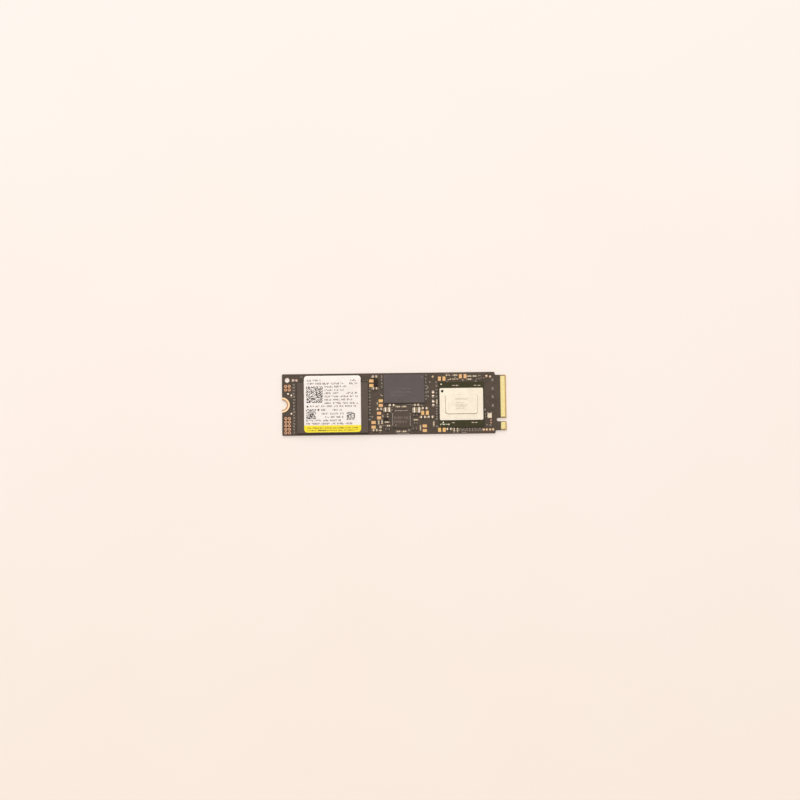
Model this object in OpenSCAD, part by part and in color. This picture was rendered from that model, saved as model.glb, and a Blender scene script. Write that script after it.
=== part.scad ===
// Gumstick solid state drive: a bare 80 mm by 22 mm plug-in card that lies face up. It carries two
// flash packages under one paper label, a memory package, a power chip with its inductors, a
// controller with a pressed metal lid, and the small parts around them.
// X runs along the card towards its gold edge contacts, Y runs across it and Z is up. The origin
// is the centre of the underside.

/* [Board] */
// Length of the card, from the screw notch's edge to the card edge
board_l = 80; // [79:0.5:82]
// Width of the card
board_w = 22; // [21.5:0.1:22.5]
// Thickness of the card over its coating
board_t = 0.8; // [0.7:0.05:1]
// Radius of the card's outer corners
corner_r = 0.4; // [0.2:0.1:0.5]
// Thickness of the copper lands, sunk to the level of the coating
copper_t = 0.035; // [0.03:0.005:0.05]
// How far the upper lands stand proud of the coating
land_rise = 0.02; // [0.01:0.005:0.03]

/* [Screw notch] */
// Radius of the half-round notch that the holding screw passes
notch_r = 1.75; // [1.6:0.05:1.9]
// Radius of the plated ring round the notch
ring_r = 2.7; // [2.4:0.05:3]
// Thickness of the plating on the wall of the notch and of the eyelets
plating_t = 0.035; // [0.025:0.005:0.05]

/* [Card edge] */
// Width of the tongue that enters the socket
tongue_w = 19.85; // [19.7:0.05:20]
// Length of the tongue, from its shoulders to the card edge
tongue_l = 4; // [3.8:0.1:4.2]
// Radius of the hollow corners at the shoulders
shoulder_r = 0.5; // [0.3:0.1:0.6]
// Width of the key slot
key_w = 1.2; // [1.1:0.05:1.3]
// Depth of the key slot, with its round end
key_depth = 3.5; // [3.3:0.1:3.7]
// Distance of the key slot from the card's middle line
key_offset = 6.125; // [6.1:0.005:6.15]
// Distance between neighbouring contacts of one row
contact_pitch = 0.5; // [0.5:0.5:0.5]
// Width of one contact
contact_w = 0.35; // [0.3:0.01:0.38]
// Length of one contact
contact_l = 1.55; // [1.3:0.05:1.7]
// Length of the bevel at the card edge
bevel_run = 0.45; // [0.3:0.05:0.6]
// Depth of the bevel on each face
bevel_drop = 0.17; // [0.1:0.01:0.25]

/* [Flash packages] */
// Length of one package, along the card
flash_l = 12; // [11.5:0.1:12.5]
// Width of one package, across the card
flash_w = 18; // [17:0.1:18.5]
// Thickness of one package above its solder balls
flash_t = 0.9; // [0.7:0.05:1]
// Distance between the middles of the two packages
flash_spacing = 13.3; // [13:0.05:14.5]

/* [Memory package] */
// Length of the package, along the card
memory_l = 14.6; // [13.8:0.1:14.8]
// Width of the package, across the card
memory_w = 10.2; // [9.6:0.1:10.4]
// Thickness of the package above its solder balls
memory_t = 0.58; // [0.5:0.02:0.7]

/* [Controller] */
// Side of the controller's square carrier
carrier_w = 16.1; // [15.6:0.1:16.3]
// Thickness of the carrier
carrier_t = 0.35; // [0.3:0.05:0.5]
// Length of the lid, along the card
lid_l = 15.5; // [15:0.1:15.6]
// Width of the lid, across the card
lid_w = 11.45; // [11:0.05:12]
// Thickness of the lid's sheet
lid_sheet = 0.3; // [0.2:0.05:0.3]
// Height of the lid's raised middle above its rim
lid_rise = 0.4; // [0.35:0.05:0.45]
// Length of the raised middle at its foot
dome_l = 11.8; // [11:0.1:12]
// Width of the raised middle at its foot
dome_w = 7.4; // [7:0.1:8]
// Radius of the raised middle's corners at its foot
dome_r = 1.1; // [0.9:0.1:1.3]
// How far the raised middle's wall leans in over its height
dome_lean = 0.25; // [0.1:0.05:0.3]

/* [Power chip] */
// Side of the square moulding
power_w = 6; // [5.8:0.1:6.2]
// Thickness of the moulding
power_t = 0.85; // [0.7:0.05:1]
// Contacts on each side
power_leads = 12; // [8:1:12]

/* [Label] */
// Side of the square label
label_w = 20.25; // [19:0.05:20.8]
// Thickness of the label
label_t = 0.1; // [0.08:0.01:0.15]
// Radius of the label's corners
label_r = 1.15; // [0.8:0.05:1.5]
// Height of the yellow band along the label's lower edge
band_h = 2.5; // [2:0.1:3]
// How far the label's free upper edge droops past the packages
label_droop = 0.25; // [0.1:0.05:0.3]

/* [Hidden] */
$fn = 48;
eps = 0.01;

// Colours
coating_black = [0.10, 0.085, 0.075];
gold = [0.88, 0.70, 0.38];
pale_gold = [0.90, 0.80, 0.47];
tin = [0.86, 0.84, 0.80];
mould_grey = [0.17, 0.15, 0.15];
carrier_green = [0.09, 0.11, 0.05];
nickel = [0.88, 0.84, 0.74];
ceramic_tan = [0.48, 0.40, 0.29];
ceramic_grey = [0.42, 0.38, 0.32];
resistor_black = [0.06, 0.055, 0.05];
lamp_pink = [0.80, 0.66, 0.66];
silicon = [0.25, 0.26, 0.30];
paper_white = [0.95, 0.93, 0.91];
band_yellow = [0.97, 0.86, 0.14];

// Places along the card
edge_x = board_l / 2;
shoulder_x = edge_x - tongue_l;
contact_x = edge_x - bevel_run - contact_l;
// How far the bare windows reach past the contacts' inner ends
window_margin = 0.06;
window_x = contact_x - window_margin;

// Contact rows. Each row is counted from the corner away from the key slot, and the contacts in
// line with the slot are left out.
upper_first_y = 9.25;
upper_count = 38;
lower_first_y = 9;
lower_count = 37;
key_first = 29;
key_last = 32;

// Plated eyelets of the service header, in two blocks of two columns
eyelet_pitch = 1.27;
eyelet_x = -38.7;
eyelet_columns = 2;
// Each block, as [y of its top row, rows]
eyelet_blocks = [[6.65, 2], [-4.88, 5]];
eyelet_hole_r = 0.27;
eyelet_pad_r = 0.5;

// Unplated tooling hole in the corner
tooling_hole = [-38.15, 8.85];
tooling_hole_r = 0.84;

// Round test pads, as [x, y] of each large one and of each small one
large_pad_r = 0.42;
large_pad_places = [
    [13.88, 9.5], [33.1, 9.52], [34.42, 9.3], [31.87, -9.7], [32.9, -9.7], [34.1, -9.68],
    [35.18, -9.68]
];
small_pad_r = 0.34;
small_pad_places = [[-37.85, 3.9], [-36.68, 3.35], [-36.7, -3.2]];

// Bare lands for parts that this card leaves out, as [x, y, angle] of each pair
land_size = [1.05, 1.5];
land_pitch = 1.65;
land_places = [
    [-8.1, 7.43, 90], [-4.82, 0.25, 90], [-5.45, -4.17, 90], [-7.45, -7.48, 90],
    [10.78, -8.93, 90], [10.95, -3.42, 0], [17.08, 8.76, 0], [24.6, 9.56, 0], [16.87, -9.55, 0]
];

// Ball-mounted packages
flash_x = -21.95;
flash_y = -1.3;
flash_ball_gap = 0.25;
flash_ball_grid = [11, 17];
flash_ball_r = 0.22;
memory_place = [3.55, 5.3];
memory_ball_gap = 0.22;
memory_ball_grid = [17, 12];
memory_ball_r = 0.18;
controller_place = [23.95, -0.63];
controller_ball_gap = 0.25;
controller_ball_grid = [19, 19];
controller_ball_r = 0.2;
// How far the outer row of balls stands in from a package's edge, and how many rings there are
ball_margin = 0.9;
ball_rings = 2;
carrier_top = board_t + controller_ball_gap + carrier_t;

// Radius of the lid's outer corners
lid_r = 0.45;
// How far the lid, with the chip under it, sits off the carrier's middle
lid_shift = 0.17;

// Chip under the controller's lid, and the paste that joins it to the lid
die_size = [8.4, 5, 0.35];
paste_t = lid_rise - die_size.z;

// Capacitors and round marks on the controller's carrier
carrier_part_places = [
    [21.25, 6.2, 0], [22.35, 6.2, 0], [28.95, 6.15, 0], [30.35, 6.12, 0],
    [21, -7.12, 0], [27.9, -7.12, 0], [29.05, -7.12, 0]
];
carrier_mark_places = [[16.8, 6.72], [17.4, -6.98]];
carrier_mark_r = 0.25;
carrier_mark_t = 0.03;

// Power chip
power_place = [2.5, -5.68];
power_lead_pitch = 0.4;
power_lead_size = [0.3, 0.22, 0.3];

// Solder fillet at a part's end: its greatest reach, its knee as shares of reach and height, and
// the share of the end's height that it climbs
fillet_reach = 0.25;
fillet_knee = [0.3, 0.25];
fillet_climb = 0.7;

// Two-terminal parts, each size as [length, width, height, length of one end]
tiny_part = [0.6, 0.3, 0.25, 0.15];
tiny_capacitor = [0.55, 0.35, 0.3, 0.22];
small_part = [1.1, 0.6, 0.5, 0.35];
large_part = [1.6, 0.85, 0.75, 0.45];
large_resistor = [1.6, 0.8, 0.45, 0.4];
small_resistor = [1, 0.5, 0.35, 0.25];
small_inductor_size = [1.8, 1.6, 1, 0.45];
large_inductor_size = [2.2, 1.9, 1.2, 0.5];
small_inductor_place = [[-2.5, -2.2, 0]];
large_inductor_place = [[7.97, -2.45, 0]];

// Places of the small parts, as [x, y, angle]
large_capacitor_places = [
    [-6.9, 9.72, 0], [-6.85, 5.5, 0], [-5.3, -1.9, 0], [-5.02, -9, 90], [-6.88, -9.43, 0],
    [13.88, 3.2, 90], [13.9, -0.08, 90], [7.95, -0.62, 0]
];
small_capacitor_places = [
    [1.38, -1.12, 0], [3.52, -1.12, 0], [1.38, -10, 0], [3.52, -10, 0],
    [7.62, -5.9, 0], [-2.68, -6.62, 0], [-2.1, -7.9, 0], [-5.6, -6.68, 90], [-4.42, -6.68, 90],
    [9.25, -8.83, 90], [14, -7.42, 90], [15.2, 0.4, 90], [21.9, 9.9, 0], [26.92, 9.5, 0],
    [28.78, 9.5, 0], [26.95, 8.4, 0], [21.25, -9.62, 90], [22.42, -9.62, 90]
];
large_resistor_places = [
    [-0.88, -0.55, 0], [10.82, -1.8, 0], [10.22, -4.92, 0], [12.9, -4.92, 0],
    [19.45, -9.32, 0], [7.5, -4.15, 0], [-2.48, -9.1, 0], [7.2, -9.02, 0]
];
small_resistor_places = [
    [-0.78, -1.75, 90], [-2.4, -4.15, 90], [-3.75, -7.87, 0], [7.62, -6.98, 0],
    [19.32, 9.9, 0], [20.7, 8.5, 0], [22.15, 8.5, 0],
    [29.98, 8.48, 0], [31.55, 8.85, 0], [32.5, -4.55, 90], [34.42, -6.75, 90]
];
tiny_capacitor_places = [
    [-4.48, 3, -25], [-6.05, 0.12, 90], [-4.1, -4.45, 90], [19.6, 8.32, 0]
];
tiny_row_x = 23.7;
tiny_row_y = -9.55;
tiny_row_pitch = 1.15;
tiny_row_count = 7;
tiny_resistor_places = [
    [-9.7, 8.45, 0],
    for (i = [0 : tiny_row_count - 1]) [tiny_row_x + i * tiny_row_pitch, tiny_row_y, 90]
];

// Load switch, with its leads on both long sides, and clamp diode
switch_place = [-6.4, 7.55];
switch_size = [1.2, 2.4, 0.75];
switch_lead_size = [0.15, 0.3, 0.2];
switch_leads_a_side = 3;
diode_place = [-3.1, -5.45];
diode_size = [1.6, 0.8, 0.6];

// Status lamp
lamp_place = [[-35.45, 8.7, 0]];
lamp_size = [1.6, 0.8, 0.3, 0.35];
lens_size = [0.84, 0.76, 0.35];
lens_r = 0.18;
lens_lean = 0.12;

// Crystal
crystal_place = [33.97, -4.7];
crystal_size = [1.8, 1.95, 0.35];
crystal_notch_r = 0.18;
crystal_cap_size = [1.5, 1.65, 0.2];
crystal_cap_r = 0.2;
// Solder feet of the crystal, two on each short side, and how far they stand off its middle
crystal_foot_size = [0.26, 0.45, 0.3];
crystal_foot_x = 0.58;

// Label
label_place = [-22, 0.08];
label_z = board_t + flash_ball_gap + flash_t;
band_t = 0.01;

// Outline with rounded corners, centred
module rounded_outline(size, r) {
    square([size.x - 2 * r, size.y], center = true);
    square([size.x, size.y - 2 * r], center = true);
    for (sx = [-1, 1], sy = [-1, 1])
        translate([sx * (size.x / 2 - r), sy * (size.y / 2 - r)]) circle(r);
}

// Plate with rounded corners, its underside at z = 0
module rounded_plate(size, r, t) {
    linear_extrude(t) rounded_outline(size, r);
}

// Plate centred on x and y, its underside at z = 0
module plate(size) {
    translate([-size.x / 2, -size.y / 2, 0]) cube(size);
}

// Block with rounded corners whose walls lean in by lean over height h
module leaning_block(size, r, h, lean) {
    inner = [size.x - 2 * r, size.y - 2 * r];
    for (sx = [-1, 1], sy = [-1, 1])
        translate([sx * inner.x / 2, sy * inner.y / 2, 0]) cylinder(h = h, r1 = r, r2 = r - lean);
    rotate([90, 0, 0]) linear_extrude(inner.y, center = true) leaning_section(size.x, h, lean);
    rotate([90, 0, 90]) linear_extrude(inner.x, center = true) leaning_section(size.y, h, lean);
}

module leaning_section(w, h, lean) {
    polygon([[-w / 2, 0], [w / 2, 0], [w / 2 - lean, h], [-w / 2 + lean, h]]);
}

// Puts its children on the board at each [x, y, angle]
module on_board(places) {
    for (p = places) translate([p.x, p.y, board_t]) rotate(p.z) children();
}

// Card, with the key slot and the screw notch still to be cut
module card_outline() {
    translate([-tongue_l / 2, 0]) rounded_outline([board_l - tongue_l, board_w], corner_r);
    translate([shoulder_x - 1, -tongue_w / 2]) square([tongue_l + 1, tongue_w]);
    for (side = [0, 1]) mirror([0, side]) translate([shoulder_x, tongue_w / 2]) difference() {
        square(shoulder_r);
        translate([shoulder_r, shoulder_r]) circle(shoulder_r);
    }
}

module key_slot_outline() {
    translate([edge_x - key_depth + key_w / 2, -key_offset]) {
        circle(key_w / 2);
        translate([0, -key_w / 2]) square([key_depth, key_w]);
    }
}

// Room that a plated barrel and its two lands take out of the board
module barrel_room(hole_r, land_r) {
    translate([0, 0, -eps]) {
        cylinder(h = board_t + 2 * eps, r = hole_r + plating_t);
        cylinder(h = copper_t + eps, r = land_r);
    }
    translate([0, 0, board_t - copper_t]) cylinder(h = copper_t + eps, r = land_r);
}

// Plated barrel with a land on each face of the board
module plated_barrel(hole_r, land_r) {
    wall_r = hole_r + plating_t;
    rotate_extrude() polygon([
        [hole_r, 0], [land_r, 0], [land_r, copper_t], [wall_r, copper_t],
        [wall_r, board_t - copper_t], [land_r, board_t - copper_t], [land_r, board_t],
        [hole_r, board_t]
    ]);
}

module at_eyelets() {
    for (block = eyelet_blocks, row = [0 : block[1] - 1], column = [0 : eyelet_columns - 1])
        translate([eyelet_x + column * eyelet_pitch, block[0] - row * eyelet_pitch, 0]) children();
}

// Wedges that bevel both faces of the card edge
module card_edge_bevels() {
    face = board_t / 2 - copper_t;
    translate([edge_x, 0, board_t / 2])
        for (side = [0, 1]) mirror([0, 0, side])
            rotate([90, 0, 0]) linear_extrude(board_w, center = true)
                polygon([[-bevel_run, face], [eps, face - bevel_drop], [eps, face + eps],
                    [-bevel_run, face + eps]]);
}

// Bare laminate windows on both faces of the tongue
module contact_windows() {
    for (z = [-eps, board_t - copper_t])
        translate([window_x, -board_w / 2, z]) cube([edge_x, board_w, copper_t + eps]);
}

module circuit_board() {
    color(coating_black) difference() {
        linear_extrude(board_t) difference() {
            card_outline();
            key_slot_outline();
            translate(tooling_hole) circle(tooling_hole_r);
        }
        translate([-edge_x, 0, 0]) barrel_room(notch_r, ring_r);
        at_eyelets() barrel_room(eyelet_hole_r, eyelet_pad_r);
        test_pad_discs(copper_t + eps);
        on_board(land_places) land_pair(copper_t + eps);
        contact_windows();
        card_edge_bevels();
    }
}

// Contacts of one row, with the underside of their copper at z
module contact_row(first_y, count, z) {
    for (i = [0 : count - 1])
        if (i < key_first || i > key_last)
            translate([contact_x, first_y - i * contact_pitch - contact_w / 2, z])
                cube([contact_l, contact_w, copper_t]);
}

module upper_contacts() {
    color(pale_gold) contact_row(upper_first_y, upper_count, board_t - copper_t);
}

module lower_contacts() {
    color(pale_gold) contact_row(lower_first_y, lower_count, 0);
}

module ground_ring() {
    color(gold) translate([-edge_x, 0, 0]) intersection() {
        plated_barrel(notch_r, ring_r);
        translate([0, -ring_r - 1, -1]) cube([ring_r + 1, 2 * ring_r + 2, board_t + 2]);
    }
}

module header_eyelets() {
    color(gold) at_eyelets() plated_barrel(eyelet_hole_r, eyelet_pad_r);
}

// Discs of both sizes, t thick, from the underside of the pads' copper upwards
module test_pad_discs(t) {
    translate([0, 0, board_t - copper_t]) {
        for (p = large_pad_places) translate(p) cylinder(h = t, r = large_pad_r);
        for (p = small_pad_places) translate(p) cylinder(h = t, r = small_pad_r);
    }
}

module test_pads() {
    color(gold) test_pad_discs(copper_t + land_rise);
}

// Pair of bare lands, sunk by the copper's thickness and t thick
module land_pair(t) {
    for (side = [-1, 1])
        translate([side * land_pitch / 2, 0, -copper_t]) plate([land_size.x, land_size.y, t]);
}

module spare_lands() {
    color(gold) on_board(land_places) land_pair(copper_t + land_rise);
}

// Outer rings of a package's solder balls, spread over its underside
module solder_balls(size, grid, r, gap) {
    step = [for (k = [0, 1]) (size[k] - 2 * ball_margin) / (grid[k] - 1)];
    for (i = [0 : grid.x - 1], j = [0 : grid.y - 1])
        if (min(i, grid.x - 1 - i, j, grid.y - 1 - j) < ball_rings)
            translate([ball_margin - size.x / 2 + i * step.x,
                       ball_margin - size.y / 2 + j * step.y, board_t])
                cylinder(h = gap, r = r, $fn = 16);
}

module flash_package(side) {
    color(mould_grey)
        translate([flash_x + side * flash_spacing / 2, flash_y, board_t + flash_ball_gap])
            plate([flash_l, flash_w, flash_t]);
}

module flash_balls(side) {
    color(tin) translate([flash_x + side * flash_spacing / 2, flash_y, 0])
        solder_balls([flash_l, flash_w], flash_ball_grid, flash_ball_r, flash_ball_gap);
}

module memory_package() {
    color(mould_grey) translate([memory_place.x, memory_place.y, board_t + memory_ball_gap])
        plate([memory_l, memory_w, memory_t]);
}

module memory_balls() {
    color(tin) translate([memory_place.x, memory_place.y, 0])
        solder_balls([memory_l, memory_w], memory_ball_grid, memory_ball_r, memory_ball_gap);
}

module controller_carrier() {
    color(carrier_green)
        translate([controller_place.x, controller_place.y, board_t + controller_ball_gap])
            plate([carrier_w, carrier_w, carrier_t]);
}

module controller_balls() {
    color(tin) translate([controller_place.x, controller_place.y, 0])
        solder_balls([carrier_w, carrier_w], controller_ball_grid, controller_ball_r,
            controller_ball_gap);
}

// Puts its children on top of the carrier, at the lid's middle
module at_lid() {
    translate([controller_place.x, controller_place.y + lid_shift, carrier_top]) children();
}

module controller_die() {
    color(silicon) at_lid() plate(die_size);
}

module controller_paste() {
    color(tin) at_lid() translate([0, 0, die_size.z])
        plate([die_size.x, die_size.y, paste_t]);
}

// Pressed sheet lid: a flat rim, a raised middle with leaning walls, and the hollow under it
module controller_lid() {
    color(nickel) at_lid() difference() {
        union() {
            rounded_plate([lid_l, lid_w], lid_r, lid_sheet);
            leaning_block([dome_l, dome_w], dome_r, lid_sheet + lid_rise, dome_lean);
        }
        translate([0, 0, -eps])
            leaning_block([dome_l - 2 * lid_sheet, dome_w - 2 * lid_sheet], dome_r - lid_sheet,
                lid_rise + eps, dome_lean);
    }
}

module controller_marks() {
    color(gold) for (p = carrier_mark_places)
        translate([p.x, p.y, carrier_top]) cylinder(h = carrier_mark_t, r = carrier_mark_r);
}

// Middle of a two-terminal part
module part_body(s) {
    plate([s.x - 2 * s[3], s.y, s.z]);
}

// Both metal ends of a two-terminal part, each with the hollow solder fillet that holds it
module part_ends(s) {
    inner = s.x / 2 - s[3];
    outer = s.x / 2;
    reach = min(fillet_reach, s.z / 2);
    for (side = [0, 1]) mirror([side, 0, 0])
        rotate([90, 0, 0]) linear_extrude(s.y, center = true)
            polygon([[inner, 0], [outer + reach, 0], [outer + reach * fillet_knee.x,
                s.z * fillet_knee.y], [outer, s.z * fillet_climb], [outer, s.z], [inner, s.z]]);
}

module controller_capacitor_bodies() {
    color(ceramic_tan) translate([0, 0, carrier_top - board_t])
        on_board(carrier_part_places) part_body(tiny_capacitor);
}

module controller_capacitor_ends() {
    color(tin) translate([0, 0, carrier_top - board_t])
        on_board(carrier_part_places) part_ends(tiny_capacitor);
}

module power_chip() {
    color(mould_grey) translate([power_place.x, power_place.y, board_t])
        plate([power_w, power_w, power_t]);
}

module power_chip_leads() {
    color(tin) translate([power_place.x, power_place.y, board_t])
        for (side = [0 : 3], i = [0 : power_leads - 1])
            rotate(side * 90)
                translate([power_w / 2, (i - (power_leads - 1) / 2) * power_lead_pitch, 0])
                    lead_foot(power_lead_size);
}

// Foot that slopes away from a moulding's wall, which it touches at x = 0
module lead_foot(size) {
    rotate([90, 0, 0]) linear_extrude(size.y, center = true)
        polygon([[0, 0], [size.x, 0], [size.x, size.z * 0.3], [0, size.z]]);
}

module load_switch() {
    color(resistor_black) translate([switch_place.x, switch_place.y, board_t])
        plate(switch_size);
}

module load_switch_leads() {
    pitch = switch_size.y / (switch_leads_a_side + 1);
    color(tin) translate([switch_place.x, switch_place.y, board_t])
        for (side = [0, 180], i = [1 : switch_leads_a_side])
            rotate(side) translate([switch_size.x / 2, i * pitch - switch_size.y / 2, 0])
                lead_foot(switch_lead_size);
}

module clamp_diode() {
    color(resistor_black) translate([diode_place.x, diode_place.y, board_t]) plate(diode_size);
}

// Domed lamp: a flat base between its ends, with a clear lens on the base
module status_lamp_base() {
    color(paper_white) on_board(lamp_place) part_body(lamp_size);
}

module status_lamp_lens() {
    color(lamp_pink) translate([0, 0, lamp_size.z]) on_board(lamp_place)
        leaning_block([lens_size.x, lens_size.y], lens_r, lens_size.z, lens_lean);
}

module status_lamp_ends() {
    color(tin) on_board(lamp_place) part_ends(lamp_size);
}

// Ceramic tray of the crystal, with a quarter-round notch at each corner
module crystal_base() {
    color(ceramic_grey) translate([crystal_place.x, crystal_place.y, board_t]) difference() {
        plate(crystal_size);
        for (sx = [-1, 1], sy = [-1, 1])
            translate([sx * crystal_size.x / 2, sy * crystal_size.y / 2, -eps])
                cylinder(h = crystal_size.z + 2 * eps, r = crystal_notch_r);
    }
}

// Solder that climbs the crystal's short sides from its four lands
module crystal_ends() {
    color(tin) translate([crystal_place.x, crystal_place.y, board_t])
        for (turn = [90, -90], side = [-1, 1])
            rotate(turn) translate([crystal_size.y / 2, side * crystal_foot_x, 0])
                lead_foot(crystal_foot_size);
}

module crystal_cap() {
    color(tin) translate([crystal_place.x, crystal_place.y, board_t + crystal_size.z])
        rounded_plate([crystal_cap_size.x, crystal_cap_size.y], crystal_cap_r,
            crystal_cap_size.z);
}

// Section of the label across the card: flat on the packages, then an arc that droops past them
module label_section() {
    flat_end = flash_y + flash_w / 2 - label_place.y;
    reach = label_w / 2 - flat_end;
    bend_r = (reach * reach + label_droop * label_droop) / (2 * label_droop);
    translate([-label_w / 2, 0]) square([label_w / 2 + flat_end, label_t]);
    intersection() {
        translate([flat_end, label_t - bend_r]) difference() {
            circle(bend_r, $fn = 200);
            circle(bend_r - label_t, $fn = 200);
        }
        translate([flat_end - eps, -label_droop - label_t])
            square([reach + eps, 2 * label_t + label_droop]);
    }
}

module label() {
    color(paper_white) translate([label_place.x, label_place.y, label_z]) intersection() {
        rotate([90, 0, 90]) linear_extrude(label_w, center = true) label_section();
        translate([0, 0, -1]) rounded_plate([label_w, label_w], label_r, 2);
    }
}

module label_band() {
    color(band_yellow) translate([label_place.x, label_place.y, label_z + label_t])
        intersection() {
            rounded_plate([label_w, label_w], label_r, band_t);
            translate([-label_w / 2, -label_w / 2, 0]) cube([label_w, band_h, band_t]);
        }
}

circuit_board();
upper_contacts();
lower_contacts();
ground_ring();
header_eyelets();
test_pads();
spare_lands();
flash_package(-1);  // left_flash_package
flash_balls(-1);  // left_flash_balls
flash_package(1);  // right_flash_package
flash_balls(1);  // right_flash_balls
memory_package();
memory_balls();
controller_carrier();
controller_balls();
controller_die();
controller_paste();
controller_lid();
controller_marks();
controller_capacitor_bodies();
controller_capacitor_ends();
power_chip();
power_chip_leads();
load_switch();
load_switch_leads();
clamp_diode();
color(ceramic_grey) on_board(small_inductor_place) part_body(small_inductor_size);  // small_inductor
color(tin) on_board(small_inductor_place) part_ends(small_inductor_size);  // small_inductor_ends
color(ceramic_grey) on_board(large_inductor_place) part_body(large_inductor_size);  // large_inductor
color(tin) on_board(large_inductor_place) part_ends(large_inductor_size);  // large_inductor_ends
color(ceramic_tan) on_board(large_capacitor_places) part_body(large_part);  // large_capacitor_bodies
color(tin) on_board(large_capacitor_places) part_ends(large_part);  // large_capacitor_ends
color(ceramic_tan) on_board(small_capacitor_places) part_body(small_part);  // small_capacitor_bodies
color(tin) on_board(small_capacitor_places) part_ends(small_part);  // small_capacitor_ends
color(resistor_black) on_board(large_resistor_places) part_body(large_resistor);  // large_resistor_bodies
color(tin) on_board(large_resistor_places) part_ends(large_resistor);  // large_resistor_ends
color(resistor_black) on_board(small_resistor_places) part_body(small_resistor);  // small_resistor_bodies
color(tin) on_board(small_resistor_places) part_ends(small_resistor);  // small_resistor_ends
color(resistor_black) on_board(tiny_resistor_places) part_body(tiny_part);  // tiny_resistor_bodies
color(tin) on_board(tiny_resistor_places) part_ends(tiny_part);  // tiny_resistor_ends
color(ceramic_tan) on_board(tiny_capacitor_places) part_body(tiny_capacitor);  // tiny_capacitor_bodies
color(tin) on_board(tiny_capacitor_places) part_ends(tiny_capacitor);  // tiny_capacitor_ends
status_lamp_base();
status_lamp_lens();
status_lamp_ends();
crystal_base();
crystal_cap();
crystal_ends();
label();
label_band();
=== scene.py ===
"""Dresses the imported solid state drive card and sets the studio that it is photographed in.

Lengths and places are in millimetres of the card's own frame, with X towards the card edge, Y across the
card and Z up, until they become mesh coordinates in metres. Colours are screen values from 0 to 255.
"""
import math
import random
from itertools import product

import bpy
import numpy as np
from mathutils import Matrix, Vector


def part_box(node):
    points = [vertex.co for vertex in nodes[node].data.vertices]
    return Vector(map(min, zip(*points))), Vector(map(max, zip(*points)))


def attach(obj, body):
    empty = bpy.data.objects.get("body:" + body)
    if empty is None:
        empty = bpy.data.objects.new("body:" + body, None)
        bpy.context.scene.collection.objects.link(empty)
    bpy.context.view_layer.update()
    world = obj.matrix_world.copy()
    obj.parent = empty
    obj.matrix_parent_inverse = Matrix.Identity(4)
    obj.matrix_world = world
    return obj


MM = 0.001
ROOT = "root"
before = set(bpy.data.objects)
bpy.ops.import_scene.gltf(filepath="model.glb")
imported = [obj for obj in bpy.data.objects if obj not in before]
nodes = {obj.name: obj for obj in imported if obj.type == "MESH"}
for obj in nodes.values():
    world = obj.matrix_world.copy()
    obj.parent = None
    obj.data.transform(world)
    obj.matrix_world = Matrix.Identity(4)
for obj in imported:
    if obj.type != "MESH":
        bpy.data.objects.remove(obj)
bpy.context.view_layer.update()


# Measures of the part

def box_mm(name):
    """Lowest and highest corner of a node."""
    low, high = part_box(name)
    return Vector(low) / MM, Vector(high) / MM


def islands(name):
    """Box of each separate solid of a node, as (low, high)."""
    mesh = nodes[name].data
    places = np.empty(len(mesh.vertices) * 3)
    mesh.vertices.foreach_get("co", places)
    places = places.reshape(-1, 3) / MM
    keys = [tuple(row) for row in np.round(places, 4)]
    first = {}
    parent = [first.setdefault(key, index) for index, key in enumerate(keys)]

    def root_of(index):
        while parent[index] != index:
            parent[index] = parent[parent[index]]
            index = parent[index]
        return index

    for edge in mesh.edges:
        a, b = (root_of(vertex) for vertex in edge.vertices)
        if a != b:
            parent[max(a, b)] = min(a, b)
    groups = {}
    for index in range(len(keys)):
        groups.setdefault(root_of(index), []).append(index)
    return [(Vector(places[g].min(axis=0)), Vector(places[g].max(axis=0))) for g in groups.values()]


def centre(low, high):
    """Middle of a box, seen from above."""
    return (low.x + high.x) / 2, (low.y + high.y) / 2


BOARD_LOW, BOARD_HIGH = box_mm("circuit_board")
BOARD_T = BOARD_HIGH.z
LABEL_TOP, BAND_TOP = box_mm("label")[1].z, box_mm("label_band")[1].z
LID_LOW, LID_HIGH = box_mm("controller_lid")
CARRIER_TOP = box_mm("controller_carrier")[1].z
LID_RIM_H = 0.3
CONTACT_X = box_mm("upper_contacts")[0].x
WINDOW_MARGIN = 0.06
BEVEL_RUN = 0.6
TOOLING_HOLE, TOOLING_HOLE_R = (-38.15, 8.85), 0.84
# The key slot's start and middle, and half its width with some room
KEY_SLOT = (36.2, -6.125, 0.75)


# Meshes

# Least cosine that a mitred corner is worked out with
MITRE_LEAST = 0.5


def show(name, data):
    """Puts data into the scene as a new object."""
    made = bpy.data.objects.new(name, data)
    bpy.context.scene.collection.objects.link(made)
    return made


def show_mesh(name, points, faces, finish):
    mesh = bpy.data.meshes.new(name)
    mesh.from_pydata(points, [], faces)
    mesh.materials.append(finish)
    return show(name, mesh)


def circle(x, y, radius, sides):
    turns = [math.tau * k / sides for k in range(sides)]
    return [(x + radius * math.cos(t), y + radius * math.sin(t)) for t in turns]


def aside(path, shift):
    """The path moved to its left by shift, with its corners mitred."""
    moved = []
    for k, (x, y) in enumerate(path):
        ways = [(Vector(path[b]) - Vector(path[a])).normalized()
                for a, b in ((k - 1, k), (k, k + 1)) if a >= 0 and b < len(path)]
        way = sum(ways, Vector((0, 0))).normalized()
        reach = shift / max(MITRE_LEAST, way.dot(ways[0]))
        moved.append((x - way.y * reach, y + way.x * reach))
    return moved


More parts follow.
